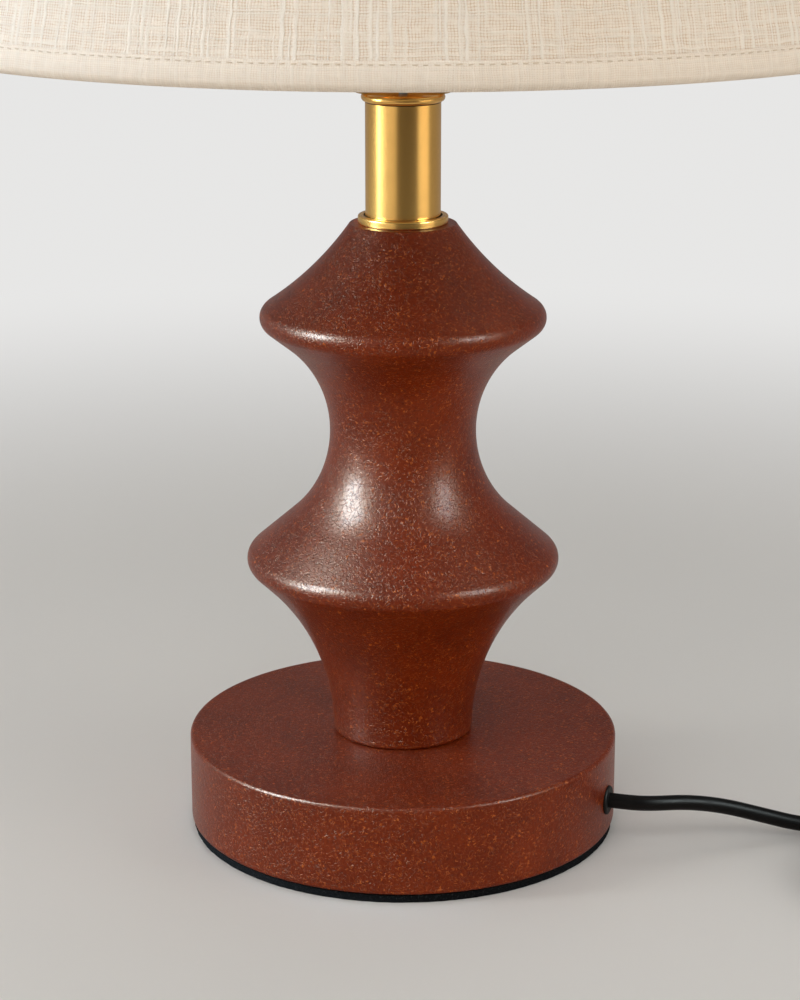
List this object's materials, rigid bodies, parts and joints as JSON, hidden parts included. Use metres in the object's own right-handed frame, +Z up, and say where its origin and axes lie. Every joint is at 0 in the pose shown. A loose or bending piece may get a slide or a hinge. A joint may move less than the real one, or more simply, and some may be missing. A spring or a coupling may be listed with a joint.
{
  "type": "table lamp",
  "caption": "Table lamp with a turned column on a round weighted base, brass neck, switched socket, turning linen shade on a harp, and mains cord.",
  "frame": {"origin": "middle of the felt pad's underside, under the axis of the turned column", "axes": "+Z up along the column, the cord leaves the base towards +X and a little to -Y, the switch points to -Y"},
  "size_m": [0.489, 0.4282, 0.5948],
  "materials": {
    "fibreboard": "satin lacquer over flecked wood fibre",
    "felt": "matt felt",
    "steel": "zinc plated",
    "brass": "satin brushed",
    "rubber": "matt black",
    "cord_jacket": "satin black",
    "live_insulation": "smooth",
    "neutral_insulation": "smooth",
    "moulded_black": "moulded gloss",
    "liner_card": "matt",
    "aluminium": "satin",
    "white_plastic": "satin",
    "frosted_globe": "frosted",
    "linen": "slubbed weave",
    "lining": "matt",
    "white_wire": "satin paint"
  },
  "bodies": {
    "lamp": {"base_disc": "fibreboard", "felt_pad": "felt", "ballast_plate": "steel", "column": "fibreboard", "threaded_rod": "steel", "base_washer": "steel", "lock_washer": "steel", "base_nut": "steel", "neck_flange": "brass", "neck_tube": "brass", "neck_cap": "brass", "harp_saddle": "brass", "harp": "brass", "socket_cap": "brass", "set_screw": "steel", "socket_shell": "brass", "socket_liner": "liner_card", "socket_body": "moulded_black", "screw_shell": "aluminium", "centre_contact": "brass", "terminal_screws": "brass", "cord_grommet": "rubber", "cord_stop": "moulded_black", "inner_cord": "cord_jacket", "live_wire": "live_insulation", "neutral_wire": "neutral_insulation", "cord_run": "cord_jacket", "cord_coil": "cord_jacket", "cord_tail": "cord_jacket", "coil_tie": "cord_jacket", "plug_body": "cord_jacket", "plug_blades": "brass"},
    "switch": {"switch_shaft": "steel", "switch_knob": "moulded_black"},
    "ferrule_left": {"harp_ferrule_left": "brass"},
    "ferrule_right": {"harp_ferrule_right": "brass"},
    "bulb": {"bulb_cap": "aluminium", "bulb_body": "white_plastic", "led_board": "white_plastic", "bulb_globe": "frosted_globe"},
    "shade": {"harp_stud": "brass", "shade_spider": "white_wire", "shade_bottom_ring": "white_wire", "shade_linen": "linen", "shade_lining": "lining", "bottom_hem": "linen", "top_hem": "linen"},
    "finial": {"finial": "brass"}
  },
  "joints": [
    {"name": "switch_turn", "type": "hinge", "parent": "lamp", "child": "switch", "pos_m": [0, 0, 0.3397], "axis": [0, -1, 0], "continuous": true},
    {"name": "ferrule_left_slide", "type": "slide", "parent": "lamp", "child": "ferrule_left", "axis": [0, 0, 1], "range_m": [0, 0.012]},
    {"name": "ferrule_right_slide", "type": "slide", "parent": "lamp", "child": "ferrule_right", "axis": [0, 0, 1], "range_m": [0, 0.012]},
    {"name": "bulb_turn", "type": "hinge", "parent": "lamp", "child": "bulb", "pos_m": [0, 0, 0.3488], "axis": [0, 0, 1], "range_deg": [0, 900]},
    {"name": "shade_turn", "type": "hinge", "parent": "lamp", "child": "shade", "pos_m": [0, 0, 0.5641], "axis": [0, 0, 1], "continuous": true},
    {"name": "finial_turn", "type": "hinge", "parent": "shade", "child": "finial", "pos_m": [0, 0, 0.5657], "axis": [0, 0, 1], "continuous": true}
  ]
}
